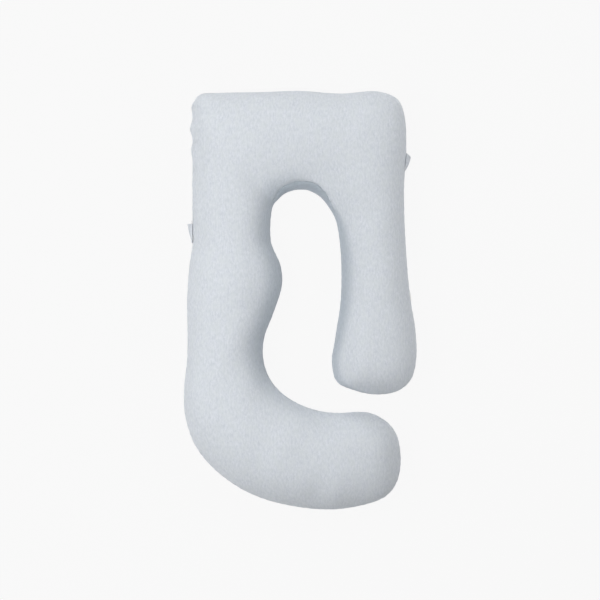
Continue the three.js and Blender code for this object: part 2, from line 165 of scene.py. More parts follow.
def travelled_along(points):
    """How far each point is along its line. The lines run along the last axis but one."""
    steps = length(np.diff(points, axis=-2))
    return np.concatenate([np.zeros(steps.shape[:-1] + (1,)), np.cumsum(steps, axis=-1)], axis=-1)


def outer_edge(rib):
    return closed_curve(SEAM_LOOP, rib)


def inner_edge(rib):
    return closed_curve(SEAM_LOOP, 2 * LAST - rib)


def arch_share(rib):
    return between(rib, *ARCH_RIBS)


def seam_lift(rib):
    falls = zip(SEAM_TOWARDS_SHORT, SEAM_TOWARDS_LONG)
    reach, power = (np.where(rib < SEAM_PEAK, short, long) for short, long in falls)
    return SEAM_LIFT * (1 - np.minimum(1, np.abs(rib - SEAM_PEAK) / reach) ** power)


def swell(middle, tip, reach):
    """How far an end has swollen: 0 at its tip and 1 where the tube is at its full height."""
    share = np.minimum(1, length(middle - np.array(tip)) / reach)
    return np.sqrt(1 - (1 - share) ** END_POWER)


def crown_height(width):
    share = CROWN_PER_WIDTH * width / (CROWN_MOST - CROWN_NARROW)
    return CROWN_NARROW + (CROWN_MOST - CROWN_NARROW) * share / (1 + share**CROWN_EASE) ** (1 / CROWN_EASE)


def lean(rib):
    return LEAN * between(rib, *LEAN_RIBS) + LEAN_BUMP * np.exp(-((rib - LEAN_BUMP_RIB) ** 2))


def crown_and_swell(rib):
    outer, inner = outer_edge(rib), inner_edge(rib)
    middle = (inner + outer) / 2
    swollen = swell(middle, SHORT_END, SHORT_END_ROUND) * swell(middle, CURL_END, CURL_END_ROUND)
    return crown_height(length(outer - inner)), swollen


def section_powers(rib, angle):
    above, inside = np.sin(angle) >= 0, np.cos(angle) > 0
    arch = arch_share(rib)
    return [
        np.where(above, np.where(inside, inner + (bend - inner) * arch, outer), under)
        for outer, inner, bend, under in zip(OUTER_TOP, INNER_TOP, ARCH_TOP, UNDER)
    ]


def face(rib, angle):
    """Points of the cover's face. rib and angle are arrays of one shape."""
    outer, inner = outer_edge(rib), inner_edge(rib)
    crown, swollen = crown_and_swell(rib)
    inner_widest = WIDEST_Z + (ARCH_WIDEST_Z - WIDEST_Z) * arch_share(rib)
    above = np.sin(angle) >= 0
    x_power, z_power = section_powers(rib, angle)
    outward = (1 - np.sign(np.cos(angle)) * np.abs(np.cos(angle)) ** (2 / x_power)) / 2
    rise = np.abs(np.sin(angle)) ** (2 / z_power) * swollen
    widest = inner_widest + (WIDEST_Z - inner_widest) * outward
    under = np.maximum(0, widest * (1 - (1 + UNDER_SINK) * rise))
    z = np.where(above, widest + (crown - widest) * rise, under)
    leaning = np.where(above, outward + lean(rib) * rise, outward)
    xy = inner + (outer - inner) * leaning[..., None]
    return np.concatenate([xy, z[..., None]], axis=-1)


def face_normal(rib, angle):
    step = 0.004
    inside = np.clip(rib, 5 * step, LAST - 5 * step)
    along = face(inside + step, angle) - face(inside - step, angle)
    around = face(inside, angle + step) - face(inside, angle - step)
    return unit(np.cross(around, along))


def rib_at(y, low, high):
    """The rib whose outer edge is at that y, between two ribs."""
    rising = outer_edge(np.array(high))[1] > outer_edge(np.array(low))[1]
    for _ in range(40):
        middle = (low + high) / 2
        if (outer_edge(np.array(middle))[1] < y) == rising:
            low = middle
        else:
            high = middle
    return (low + high) / 2


TAPE_LEFT, TAPE_RIGHT = rib_at(TAPE_LEFT_Y, 18, 22), rib_at(TAPE_RIGHT_Y, 6, 9)
COIL_LEFT, COIL_RIGHT = rib_at(COIL_LEFT_Y, 18, 22), rib_at(COIL_RIGHT_Y, 6, 9)


def in_zip(rib):
    """1 between the ends of the zip's tapes, and 0 past them."""
    return between(rib, TAPE_RIGHT - ZIP_RAMP, TAPE_RIGHT, TAPE_LEFT, TAPE_LEFT + ZIP_RAMP)


CLOSER_RIBS = 0.6  # how far from the tube's ends the stations are closer together


def stations(spacing, first=0.0, last=float(LAST)):
    """Rib numbers no further apart than spacing on either edge, and closer near the tube's ends."""
    fine = np.linspace(first, last, 6000)
    steps = [length(np.diff(edge(fine), axis=0)) for edge in (outer_edge, inner_edge)]
    near_end = sum(np.exp(-((ribs / CLOSER_RIBS) ** 2)) for ribs in (fine[1:], LAST - fine[1:]))
    travelled = np.concatenate([[0], np.cumsum(np.maximum(*steps) * (1 + 2 * near_end))])
    count = 2 * round(travelled[-1] / spacing / 2)
    return np.interp(np.linspace(0, travelled[-1], count + 1), travelled, fine)


# ---- the stuffed cover's relief

PINCH = {"plain": 0.0035, "arch": 0.0055, "zip": 0.0010}  # how deep the thread draws the seam in
PINCH_WIDTH = {"plain": 0.0065, "arch": 0.0085}
PUCKER = 0.0007  # height of the ripples beside the seam
PUCKER_REACH = 0.016
PUCKER_LENGTHS = [0.019, 0.026, 0.037]
PUCKER_AT_ZIP = 0.4  # share of their height that is left beside the zip
UNEVEN, UNEVEN_LENGTHS = 0.0016, (0.09, 0.26)  # height and wavelengths of the filling's unevenness
UNEVEN_FROM_SEAM = 0.05  # where it has grown to its full height

# Where the cover bags out over the stiffer zip: (x, y, how far, half-length).
POUCHES = [
    (-0.371, 0.671, 0.009, 0.016),
    (-0.371, 0.590, 0.011, 0.024),
    (-0.371, 0.512, 0.009, 0.026),
    (-0.371, 0.401, 0.005, 0.026),
    (-0.371, 0.316, 0.004, 0.020),
    (-0.060, 0.722, 0.002, 0.050),
    (0.366, 0.585, 0.004, 0.030),
    (0.368, 0.520, 0.003, 0.025),
]
POUCH_FROM, POUCH_RISE = 0.008, 0.022  # from the zip's line to a pouch's start, and on to its fullest

# Short folds in the upper panel: (start x, start y, end x, end y, depth, half-width).
FOLDS = [
    (-0.368, 0.665, -0.336, 0.652, 0.0062, 0.0055),
    (-0.374, 0.545, -0.335, 0.552, 0.0026, 0.0070),
    (-0.372, 0.445, -0.330, 0.450, 0.0022, 0.0080),
    (-0.370, 0.362, -0.335, 0.358, 0.0018, 0.0080),
    (0.372, 0.545, 0.335, 0.550, 0.0020, 0.0080),
    # gathers over the short leg's blunt end
    (0.186, -0.312, 0.190, -0.258, 0.0016, 0.0060),
    (0.213, -0.318, 0.216, -0.256, 0.0018, 0.0060),
    (0.241, -0.325, 0.243, -0.264, 0.0017, 0.0065),
    (0.286, -0.326, 0.283, -0.268, 0.0018, 0.0065),
    (0.317, -0.318, 0.311, -0.268, 0.0015, 0.0060),
]


def waves(at, lengths, seed):
    """A smooth, even mixture of sines of those wavelengths, between about -1 and 1."""
    phases = np.random.default_rng(seed).uniform(0, 2 * math.pi, len(lengths))
    return sum(np.sin(2 * math.pi * at / w + p) for w, p in zip(lengths, phases)) / len(lengths) ** 0.5


def undulation(points):
    """The unevenness of loose filling: a sum of plane waves in every direction."""
    rng = np.random.default_rng(4)
    total = 0
    for _ in range(18):
        direction = unit(rng.normal(size=3) * (1, 1, 0.6))
        wavelength = rng.uniform(*UNEVEN_LENGTHS)
        total = total + np.sin(points @ direction * 2 * math.pi / wavelength + rng.uniform(0, 6.3))
    return UNEVEN * total / 3


def point_tree(points):
    tree = KDTree(len(points))
    for i, point in enumerate(points):
        tree.insert(point, i)
    tree.balance()
    return tree


class Seams:
    """The seam's whole path, and how far each point of the cover is from it."""

    def __init__(self):
        rib = stations(SEAM_SPACING)
        inner = face(rib, seam_lift(rib))
        outer = face(rib, np.full_like(rib, math.pi))
        self.points = np.concatenate([outer, inner[::-1]])
        self.arch = np.concatenate([0 * rib, arch_share(rib)[::-1]])
        self.zip = np.concatenate([in_zip(rib), 0 * rib])
        self.along = travelled_along(self.points)
        self.tree = point_tree(self.points)

    def nearest(self, points):
        """For each point, the nearest seam point's number and the distance to it."""
        found = [self.tree.find(p) for p in points.reshape(-1, 3)]
        return (np.array([f[k] for f in found]).reshape(points.shape[:-1]) for k in (1, 2))


def fold_depth(points):
    depth = np.zeros(points.shape[:-1])
    for x0, y0, x1, y1, deep, half in FOLDS:
        start, run = np.array([x0, y0]), np.array([x1 - x0, y1 - y0])
        share = np.clip((points[..., :2] - start) @ run / (run @ run), -0.3, 1)
        off = length(points[..., :2] - start - share[..., None] * run)
        above = smooth_step(points[..., 2], WIDEST_Z + 0.004, WIDEST_Z + 0.02)
        depth += deep * np.exp(-((off / half) ** 2)) * (1 - np.clip(share, 0, 1) ** 2) * above
    return depth


def relief(points, seams):
    """How far the stuffed cover's face stands out from the tube's even surface."""
    number, distance = seams.nearest(points)
    arch, zipped, along = seams.arch[number], seams.zip[number], seams.along[number]
    depth = PINCH["plain"] + (PINCH["arch"] - PINCH["plain"]) * arch
    depth = depth + (PINCH["zip"] - depth) * zipped
    width = PINCH_WIDTH["plain"] + (PINCH_WIDTH["arch"] - PINCH_WIDTH["plain"]) * arch
    pinch = -depth * np.exp(-((distance / width) ** 1.5))
    pucker = PUCKER * np.exp(-distance / PUCKER_REACH) * waves(along, PUCKER_LENGTHS, 1)
    pucker = pucker * (1 + (PUCKER_AT_ZIP - 1) * zipped)
    pouch = 0
    for x, y, out, half in POUCHES:
        centre = seams.along[np.argmin(length(seams.points[:, :2] - (x, y)))]
        rise = np.maximum(0, distance - POUCH_FROM) / POUCH_RISE
        pouch = pouch + out * np.exp(-(((along - centre) / half) ** 2)) * (rise * np.exp(1 - rise)) ** 1.3
    uneven = smooth_step(distance, 0, UNEVEN_FROM_SEAM) * undulation(points)
    return pinch + pucker + pouch + uneven - fold_depth(points)


# ---- meshes from grids


def new_object(name, data):
    obj = bpy.data.objects.new(name, data)
    bpy.context.scene.collection.objects.link(obj)
    return obj


def mesh_object(name, vertices, faces, material):
    mesh = bpy.data.meshes.new(name)
    mesh.from_pydata(np.asarray(vertices).reshape(-1, 3).tolist(), [], faces)
    mesh.validate()
    mesh.polygons.foreach_set("use_smooth", [True] * len(mesh.polygons))
    if material:
        mesh.materials.append(material)
    return new_object(name, mesh)


def grid_faces(rows, columns, flip=False, wrap=False, start=0):
    """Quads of a grid of rows x columns vertices, numbered row by row."""
    faces = []
    for i in range(rows - 1):
        for j in range(columns if wrap else columns - 1):
            k = (j + 1) % columns
            a, b = start + i * columns + j, start + i * columns + k
            quad = (a, b, b + columns, a + columns)
            faces.append(quad[::-1] if flip else quad)
    return faces


@contextmanager
def editing(obj):
    work = bmesh.new()
    work.from_mesh(obj.data)
    yield work
    work.to_mesh(obj.data)
    work.free()


def merge_tips(obj, distance=1e-5):
    """Joins the vertices that meet in one point at the tube's ends."""
    with editing(obj) as work:
        bmesh.ops.remove_doubles(work, verts=work.verts, dist=distance)
        bmesh.ops.dissolve_degenerate(work, edges=work.edges, dist=distance / 2)
    obj.data.polygons.foreach_set("use_smooth", [True] * len(obj.data.polygons))


def closed_sheet(name, outside, inside, material):
    """A sheet of cloth with thickness, from two grids of points."""
    rows, columns = outside.shape[:2]
    faces = grid_faces(rows, columns, flip=True)
    faces += grid_faces(rows, columns, start=rows * columns)
    number = np.arange(rows * columns).reshape(rows, columns)
    border = [*number[0], *number[1:, -1], *number[-1, -2::-1], *number[-2:0:-1, 0]]
    for a, b in zip(border, border[1:] + border[:1]):
        faces.append((a, b, b + rows * columns, a + rows * columns))
    obj = mesh_object(name, np.concatenate([outside.reshape(-1, 3), inside.reshape(-1, 3)]), faces, material)
    face_outwards(obj)
    return obj


def store(obj, name, kind, field, values):
    """Keeps a value for each of a piece's vertices, for its material."""
    obj.data.attributes.new(name, kind, "POINT").data.foreach_set(field, values.reshape(-1))


def face_outwards(obj):
    with editing(obj) as work:
        bmesh.ops.recalc_face_normals(work, faces=work.faces)


# ---- materials

JERSEY_LIGHT = (0.725, 0.755, 0.805)
JERSEY_DARK = (0.580, 0.620, 0.670)
JERSEY_TINT = (0.665, 0.705, 0.720)
JERSEY_SHADE_MULTIPLIER = (0.36, 0.43, 0.48)  # painted shade: what the cloth's colour is multiplied by where it stands for shade
STITCH_WIDE, STITCH_HIGH, STITCH_DEEP = 0.0016, 0.0012, 0.00022  # of the knit


class Nodes:
    """A material's node tree, with one short call for each node."""

    def __init__(self, name):
        self.material = bpy.data.materials.new(name)
        self.material.use_nodes = True
        self.tree = self.material.node_tree
        self.shader = self.tree.nodes["Principled BSDF"]

    def add(self, kind, inputs=None, **settings):
        node = self.tree.nodes.new(kind)
        for key, value in settings.items():
            setattr(node, key, value)
        for key, value in (inputs or {}).items():
            self.feed(node.inputs[key], value)
        return node

    def feed(self, socket, value):
        if isinstance(value, bpy.types.NodeSocket):
            self.tree.links.new(value, socket)
        else:
            socket.default_value = value

    def shaded(self, **values):
        """The material, with those inputs of its shader. Each one is a value or another node's output."""
        for key, value in values.items():
            self.feed(self.shader.inputs[key.replace("_", " ")], value)
        return self.material

    def scaled(self, vector, scale):
        return self.add("ShaderNodeMapping", {"Vector": vector, "Scale": scale}).outputs["Vector"]

    def noise(self, vector, scale=1.0, detail=2.0, roughness=0.5):
        inputs = {"Vector": vector, "Scale": scale, "Detail": detail, "Roughness": roughness}
        return self.add("ShaderNodeTexNoise", inputs).outputs["Fac"]

    def math(self, operation, a, b=0.0):
        return self.add("ShaderNodeMath", {0: a, 1: b}, operation=operation).outputs[0]

    def mix(self, factor, a, b, blend="MIX"):
        a, b = (c if isinstance(c, bpy.types.NodeSocket) else (*c, 1) for c in (a, b))
        inputs = {"Factor": factor, 6: a, 7: b}
        return self.add("ShaderNodeMix", inputs, data_type="RGBA", blend_type=blend).outputs[2]

    def mix_numbers(self, factor, a, b):
        return self.math("ADD", self.math("MULTIPLY", a, 1 - factor), self.math("MULTIPLY", b, factor))

    def contrast(self, value, low, high):
        inputs = {"Value": value, "From Min": low, "From Max": high}
        return self.add("ShaderNodeMapRange", inputs).outputs[0]

    def bump(self, height, distance, strength=1.0, normal=None):
        inputs = {"Height": height, "Distance": distance, "Strength": strength}
        if normal is not None:
            inputs["Normal"] = normal
        return self.add("ShaderNodeBump", inputs).outputs["Normal"]

    def attribute(self, name, output="Vector"):
        return self.add("ShaderNodeAttribute", attribute_name=name).outputs[output]

    def object_place(self):
        return self.add("ShaderNodeTexCoord").outputs["Object"]


def knit_height(nodes, place):
    """Height of a plain knit face: columns of V-shaped stitches."""
    part = nodes.add("ShaderNodeSeparateXYZ", {0: place})
    column = nodes.math("DIVIDE", part.outputs[0], STITCH_WIDE)
    side = nodes.math("ABSOLUTE", nodes.math("SUBTRACT", nodes.math("FRACT", column), 0.5))
    row = nodes.math("DIVIDE", part.outputs[1], STITCH_HIGH)
    slanted = nodes.math("FRACT", nodes.math("ADD", row, nodes.math("MULTIPLY", side, 1.4)))
    loop = nodes.math("PINGPONG", slanted, 0.5)
    valley = nodes.math("MULTIPLY", side, -1.1)
    return nodes.math("ADD", nodes.math("MULTIPLY", loop, 1.2), valley)


def jersey():
    """Brushed heathered knit: light and darker blue-grey fibres lie in streaks along the wales."""
    nodes = Nodes("heathered_jersey")
    place = nodes.attribute("cloth")
    streaks = nodes.noise(nodes.scaled(place, (160, 66, 1)), detail=3, roughness=0.6)
    flecks = nodes.noise(nodes.scaled(place, (700, 200, 1)), detail=2)
    patches = nodes.noise(nodes.scaled(place, (40, 26, 1)), detail=3, roughness=0.6)
    melange = nodes.mix_numbers(0.3, streaks, flecks)
    colour = nodes.mix(nodes.contrast(melange, 0.36, 0.64), JERSEY_DARK, JERSEY_LIGHT)
    tint = nodes.math("MULTIPLY", nodes.contrast(patches, 0.35, 0.65), 0.45)
    colour = nodes.mix(tint, colour, JERSEY_TINT)
    # painted shade: a stored share darkens the cloth beside the inner edge and on the arch's wall
    painted_shade = nodes.attribute("painted_shade", "Fac")
    stitches = nodes.bump(knit_height(nodes, place), STITCH_DEEP, 0.5)
    fuzz = nodes.noise(nodes.scaled(place, (1500, 1500, 1500)), detail=3)
    return nodes.shaded(
        Base_Color=nodes.mix(painted_shade, colour, JERSEY_SHADE_MULTIPLIER, "MULTIPLY"),
        Roughness=nodes.contrast(flecks, -1.5, 1.2),
        Normal=nodes.bump(fuzz, 0.00025, 0.4, stitches),
        Sheen_Weight=0.40,
        Sheen_Roughness=0.4,
        Sheen_Tint=(0.9, 0.93, 1.0, 1),
        Specular_IOR_Level=0.15,
    )


def woven(name, light, dark, thread, roughness=0.85, sheen=0.1):
    """Plain weave of that thread spacing: warp and weft bumps, with uneven yarns."""
    nodes = Nodes(name)
    place = nodes.object_place()
    part = nodes.add("ShaderNodeSeparateXYZ", {0: place})
    across = nodes.math("SUBTRACT", part.outputs[0], part.outputs[1])
    warp = nodes.math("SINE", nodes.math("MULTIPLY", across, 2 * math.pi / thread))
    weft = nodes.math("SINE", nodes.math("MULTIPLY", part.outputs[2], 2 * math.pi / thread))
    weave = nodes.math("MULTIPLY", warp, weft)
    yarn = nodes.noise(place, scale=700, detail=2)
    shade = nodes.math("ADD", nodes.math("MULTIPLY", weave, 0.2), yarn)
    return nodes.shaded(
        Base_Color=nodes.mix(nodes.contrast(shade, 0.2, 0.8), dark, light),
        Roughness=nodes.math("ADD", nodes.math("MULTIPLY", yarn, 0.2), roughness - 0.1),
        Normal=nodes.bump(weave, thread / 4, 0.5),
        Sheen_Weight=sheen,
        Specular_IOR_Level=0.2,
    )


def fibre():
    """Loose polyester filling: soft clumps of fine white fibre."""
    nodes = Nodes("polyester_fibre")
    place = nodes.object_place()
    clumps = nodes.noise(place, scale=28, detail=5, roughness=0.65)
    strands = nodes.noise(nodes.scaled(place, (400, 90, 400)), detail=3)
    shade = nodes.contrast(clumps, 0.3, 0.7)
    coarse = nodes.bump(clumps, 0.006, 0.7)
    return nodes.shaded(
        Base_Color=nodes.mix(shade, (0.80, 0.80, 0.78), (0.94, 0.94, 0.93)),
        Roughness=1.0,
        Normal=nodes.bump(strands, 0.0008, 0.6, coarse),
        Sheen_Weight=0.3,
        Specular_IOR_Level=0.1,
    )


def nylon():
    nodes = Nodes("coil_nylon")
    fine = nodes.noise(nodes.object_place(), scale=900)
    return nodes.shaded(
        Base_Color=nodes.mix(fine, (0.40, 0.44, 0.50), (0.50, 0.54, 0.60)),
        Roughness=nodes.contrast(fine, -0.6, 1.8),
        Normal=nodes.bump(fine, 0.00005, 0.3),
        Specular_IOR_Level=0.5,
    )


def zinc():
    """Tumbled zinc alloy with a satin finish and fine rubbed scratches."""
    nodes = Nodes("zinc_alloy")
    place = nodes.object_place()
    cloudy = nodes.noise(place, scale=240, detail=3)
    scratches = nodes.noise(nodes.scaled(place, (900, 4200, 900)), detail=3, roughness=0.7)
    return nodes.shaded(
        Base_Color=nodes.mix(cloudy, (0.46, 0.47, 0.49), (0.66, 0.67, 0.69)),
        Roughness=nodes.contrast(scratches, -0.4, 2.2),
        Normal=nodes.bump(scratches, 0.00003, 0.35),
        Metallic=0.9,
    )


def thread():
    nodes = Nodes("sewing_thread")
    twist = nodes.noise(nodes.object_place(), scale=2600, detail=1)
    return nodes.shaded(
        Base_Color=nodes.mix(twist, (0.50, 0.54, 0.62), (0.66, 0.70, 0.77)),
        Roughness=0.7,
        Normal=nodes.bump(twist, 0.00006, 0.5),
        Sheen_Weight=0.2,
    )


# ---- the cover

STATION_SPACING, SEAM_SPACING, ZIP_SPACING = 0.0055, 0.004, 0.005
PANEL_ROWS = 54
ROW_EASING = 0.55  # how much closer a panel's rows are at its edges
ANGLE_SAMPLES = 300
CLOTH_APART = 0.1  # sets the two panels' flat cloths apart, so that their heather differs
TUCK_DEPTH, TUCK_DEPTH_ZIP, TUCK_ASIDE = 0.0045, 0.0013, 0.0004  # the cloth turned in at the edges
FLOOR_GAP = 0.0002
TAPE_COVER = 0.0010  # how far the cloth over the zip's tape may sink
TAPE_EDGE = (0.017, 0.030)  # that limit holds up to the tape's edge, and eases off past it


def panel_rows(rib, side):
    """The rows' angles, from the inner seam to the zip or outer seam, and their distances along the cloth.

    side is 1 for the upper panel and -1 for the lower one."""
    inner = seam_lift(rib) if side > 0 else 2 * math.pi + seam_lift(rib)
    sampled = inner[:, None] + (math.pi - inner)[:, None] * np.linspace(0, 1, ANGLE_SAMPLES)
    travelled = travelled_along(face(np.repeat(rib[:, None], ANGLE_SAMPLES, axis=1), sampled))
    even = np.linspace(0, 1, PANEL_ROWS + 1)
    eased = (1 - ROW_EASING) * even + ROW_EASING * (1 - np.cos(math.pi * even)) / 2
    whole = travelled[:, -1] - HEM_GAP * in_zip(rib)
    wanted = np.clip(whole, 0, None)[:, None] * eased
    angles = np.array([np.interp(w, t, a) for w, t, a in zip(wanted, travelled, sampled)])
    return angles, wanted


def cloth_place(rib, points, wanted, side):
    """Each point's place in the flat cut cloth: across the tube by the distance along the cloth."""
    top = np.argmax(points[..., 2] * side, axis=1)
    rows = np.arange(len(rib))
    crown, crown_at = points[rows, top], wanted[rows, top]
    across = unit(outer_edge(rib) - inner_edge(rib))
    flat = crown[:, None, :2] + across[:, None, :] * (wanted - crown_at[:, None])[..., None]
    return np.concatenate([flat, np.full(flat.shape[:-1] + (1,), CLOTH_APART * side)], axis=-1)


def tucked(points, normals, side):
    """Adds the turned-in cloth at both of a panel's edges, so that the two panels close in a groove."""
    away = np.array([0, 0, TUCK_ASIDE * side])

    def turned(edge, depths):
        return np.stack([points[:, edge] - normals[:, edge] * d[:, None] + away for d in depths], axis=1)

    deep = np.full(len(points), TUCK_DEPTH)
    hem = deep + (TUCK_DEPTH_ZIP - deep) * in_zip(cover_stations)
    return np.concatenate([turned(0, [deep, deep / 2]), points, turned(-1, [hem / 2, hem])], axis=1)


# Painted shade beside the inner edge, where the tube's sides turn from the light: rib, how strong the
# painted shade is there, and how many mm wide that band is.
INNER_SHADE_BANDS = [
    *[(0, 0.06, 20), (1, 0.38, 28), (3, 0.40, 30), (5, 0.45, 40), (6, 0.44, 40), (7, 0.46, 20)],
    *[(8, 0.50, 12), (9.5, 0.07, 20), (11, 0, 40), (14, 0.20, 66), (16, 0.34, 74), (18, 0.32, 52)],
    *[(20, 0.30, 62), (23, 0.42, 66), (25, 0.32, 60), (27, 0.14, 50), (30, 0, 40)],
]
ARCH_WALL_SHADE = 0.56  # painted shade on the arch's wall, below its seam


def painted_shade_share(rib, angle, points, side):
    """0 where the cloth shows its own colour, and 1 where it is darkened most: painted shade beside the
    inner edge and on the arch's wall.
    """
    off = length(points[..., :2] - inner_edge(rib))
    ribs, most, millimetres = np.array(INNER_SHADE_BANDS).T
    band = np.interp(rib, ribs, most)
    wide = np.interp(rib, ribs, millimetres) / 1000
    painted_shade = band * (1 - smooth_step(off / wide, 0.2, 1.3))
    if side > 0:
        return painted_shade
    wall = arch_share(rib) * smooth_step(np.cos(angle), 0.2, 0.6)
    return painted_shade + (ARCH_WALL_SHADE - painted_shade) * wall


class Panel:
    """A panel's grid of points: one row for each station, from the inner seam to the zip or outer seam."""

    def __init__(self, side, seams):
        rib = cover_stations
        angles, self.wanted = panel_rows(rib, side)
        spread = np.repeat(rib[:, None], PANEL_ROWS + 1, axis=1)
        self.side = side
        self.even = face(spread, angles)
        self.normals = face_normal(spread, angles)
        for tip in (0, -1):
            self.normals[tip] = unit(self.normals[tip].mean(axis=0))
        number, distance = seams.nearest(self.even)
        self.over_tape = seams.zip[number] * (1 - smooth_step(distance, *TAPE_EDGE))
        self.points = self.even
        self.move(self.normals * relief(self.even, seams)[..., None])
        # painted shade for the cloth's colour, beside the inner edge and on the arch's wall
        self.painted_shade = painted_shade_share(spread, angles, self.points, side)

    def move(self, shift):
        """Moves each point, but neither through the zip's tape nor through the floor."""
        moved = self.points + shift
        sunk = -((moved - self.even) * self.normals).sum(axis=-1) - TAPE_COVER
        self.points = moved + self.normals * (np.maximum(0, sunk) * self.over_tape)[..., None]
        self.points[..., 2] = np.maximum(self.points[..., 2], FLOOR_GAP)


# ---- the stuffing's pressure, simulated

SETTLE_FRAMES = 22
SETTLE_MOST = 0.0045  # furthest that a point of the cloth may move
PRESSURE = 4.0
CALM_PASSES = 4
SLACK, ZIP_SLACK = 0.002, 0.030  # how much larger than the tube the cloth is cut, and beside the zip
ZIP_SLACK_WIDTH = 0.07
HELD_WIDTH = 0.015  # from a seam to where the cloth is free to move
HELD_FLOOR = (0.004, 0.001)  # heights between which the cloth becomes held by the floor
FREE_SEAM, FREE_FLOOR = (0.010, 0.050), (0, 0.040)  # where the swelling grows to its full height


def doubled(grid, axis):
    """The grid with a point put in between each two, on a smooth curve through them."""
    grid = np.moveaxis(grid, axis, 0)
    padded = np.concatenate([2 * grid[:1] - grid[1:2], grid, 2 * grid[-1:] - grid[-2:-1]])
    middle = (9 * (padded[1:-2] + padded[2:-1]) - padded[:-3] - padded[3:]) / 16
    out = np.empty((2 * len(grid) - 1,) + grid.shape[1:])
    out[::2], out[1::2] = grid, middle
    return np.moveaxis(out, 0, axis)


def calmed(grids):
    """The panels' grids, each point drawn towards its neighbours along the tube and across it."""
    for _ in range(CALM_PASSES):
        for axis in (1, 2):
            inner = np.moveaxis(grids, axis, 0)
            inner[1:-1] = (inner[:-2] + 2 * inner[1:-1] + inner[2:]) / 4
    return grids


def settle(panels, seams):
    """Fills the closed cover with pressure. Returns how far each point of each panel moves."""
    coarse = [panel.points[::2, ::2] for panel in panels]
    rows, columns = coarse[0].shape[:2]
    faces = grid_faces(rows, columns, flip=True) + grid_faces(rows, columns, start=rows * columns)
    for i in range(rows - 1):
        a, b = (i + 1) * columns - 1, (i + 2) * columns - 1
        faces.append((a, b, b + rows * columns, a + rows * columns))
    vertices = np.concatenate([grid.reshape(-1, 3) for grid in coarse])
    bag = mesh_object("settling", vertices, faces, None)
    merge_tips(bag)
    face_outwards(bag)

    rest = np.array([v.co for v in bag.data.vertices])
    tree = point_tree(rest)
    number = np.array([tree.find(point)[1] for point in vertices])

    seam, distance = seams.nearest(rest)
    held = np.clip(1.25 * (1 - distance / HELD_WIDTH), 0, 1)
    held = np.maximum(held, smooth_step(rest[:, 2], *HELD_FLOOR))
    pins, loose = bag.vertex_groups.new(name="held"), bag.vertex_groups.new(name="loose")
    slack = seams.zip[seam] * np.exp(-((distance / ZIP_SLACK_WIDTH) ** 2))
    for i in range(len(rest)):
        pins.add([i], float(held[i]), "REPLACE")
        loose.add([i], float(slack[i]), "REPLACE")

    cloth_settings = bag.modifiers.new("settle", "CLOTH")
    cloth_settings.point_cache.frame_end = SETTLE_FRAMES
    physics = cloth_settings.settings
    physics.quality = 6
    physics.mass = 0.15
    physics.tension_stiffness = physics.compression_stiffness = 15
    physics.shear_stiffness = 8
    physics.bending_stiffness = 1.0
    physics.air_damping = 2
    physics.vertex_group_mass = "held"
    physics.vertex_group_shrink = "loose"
    physics.shrink_min, physics.shrink_max = -SLACK, -ZIP_SLACK
    physics.use_pressure = True
    physics.uniform_pressure_force = PRESSURE
    physics.effector_weights.gravity = 0
    cloth_settings.collision_settings.use_collision = False
    for frame_number in range(1, SETTLE_FRAMES + 1):
        bpy.context.scene.frame_set(frame_number)
    evaluated = bag.evaluated_get(bpy.context.evaluated_depsgraph_get())
    settled = np.array([v.co for v in evaluated.data.vertices])
    bpy.context.scene.frame_set(1)
    bpy.data.objects.remove(bag)

    shift = (settled - rest)[number].reshape(2, rows, columns, 3)
    normals = np.stack([panel.normals[::2, ::2] for panel in panels])
    free = smooth_step(distance, *FREE_SEAM) * smooth_step(rest[:, 2], *FREE_FLOOR)
    free = free[number].reshape(2, rows, columns)
    swelling = np.average((shift * normals).sum(axis=-1), weights=free)
    shift -= normals * (swelling * free)[..., None]  # the cloth is cut smaller by what it swells evenly
    far = length(shift)[..., None]
    shift *= SETTLE_MOST * np.tanh(far / SETTLE_MOST) / np.maximum(far, 1e-9)
    return [doubled(doubled(part, 0), 1) for part in calmed(shift)]


def cover_panel(name, panel, material):
    flat = cloth_place(cover_stations, panel.even, panel.wanted, panel.side)
    flat = np.pad(flat, ((0, 0), (2, 2), (0, 0)), "edge")
    whole = tucked(panel.points, panel.normals, panel.side)
    obj = mesh_object(name, whole, grid_faces(*whole.shape[:2], flip=panel.side > 0), material)
    store(obj, "cloth", "FLOAT_VECTOR", "vector", flat)
    # the painted shade, kept on each vertex for the material
    store(obj, "painted_shade", "FLOAT", "value", np.pad(panel.painted_shade, ((0, 0), (2, 2)), "edge"))
    merge_tips(obj)
    return obj


# ---- what lies under the cover

LINER_GAP, LINER_SEAM_GAP = 0.0070, 0.0065  # below the cover, and how much more beside its seam
LINER_SEAM_WIDTH = 0.018
FILLING_GAP = 0.0022  # below the liner
INNER_EVERY = 3  # the liner and the filling have every third row of the cover's grid


def inner_grid(panel, seams, gap):
    """A coarser grid that lies gap below the cover's relief, and further below it beside the seam."""
    points, normals = (grid[::INNER_EVERY, ::INNER_EVERY] for grid in (panel.points, panel.normals))
    _, distance = seams.nearest(points)
    depth = gap + LINER_SEAM_GAP * np.exp(-((distance / LINER_SEAM_WIDTH) ** 2))
    return points - normals * depth[..., None]


# ---- the zip


def angle_above(rib, height):
    """The angle of the face's point that far above the zip's line, or below it."""
    crown, swollen = crown_and_swell(rib)
    reach = np.where(height >= 0, crown - WIDEST_Z, WIDEST_Z * (1 + UNDER_SINK))
    power = np.where(height >= 0, OUTER_TOP[1], UNDER[1]) / 2
    turn = np.arcsin(np.minimum(1, (np.abs(height) / (reach * swollen)) ** power))
    return np.where(height >= 0, math.pi - turn, math.pi + turn)


def on_outer_face(rib, height, out):
    """The point that far above the zip's line, and that far out of the face. All are arrays of one shape."""
    angle = angle_above(rib, height)
    return face(rib, angle) + face_normal(rib, angle) * out[..., None]


